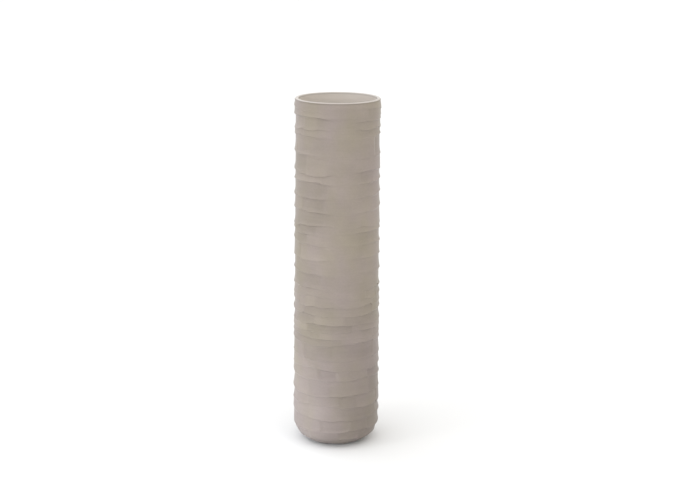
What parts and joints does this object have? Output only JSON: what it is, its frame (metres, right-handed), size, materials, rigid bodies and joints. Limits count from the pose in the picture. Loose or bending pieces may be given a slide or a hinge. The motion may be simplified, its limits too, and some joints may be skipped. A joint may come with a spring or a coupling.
{
  "type": "cylinder vase",
  "caption": "Tall cylindrical floor vase in fused layers of glass, its matte outer casing cut by hand into shallow level bands, with a rounded lip and a rounded heavy foot.",
  "frame": {"origin": "centre of the flat ground foot, on the surface that the vase stands on", "axes": "+Z along the bore, from the foot to the lip; the vase is round, so +X is any direction"},
  "size_m": [0.1503, 0.1504, 0.6],
  "materials": {
    "casing_glass": "acid-matte taupe overlay glass, cut by hand",
    "core_glass": "satin pale opal glass"
  },
  "bodies": {
    "root": {"outer_casing": "casing_glass", "inner_core": "core_glass"}
  },
  "joints": []
}
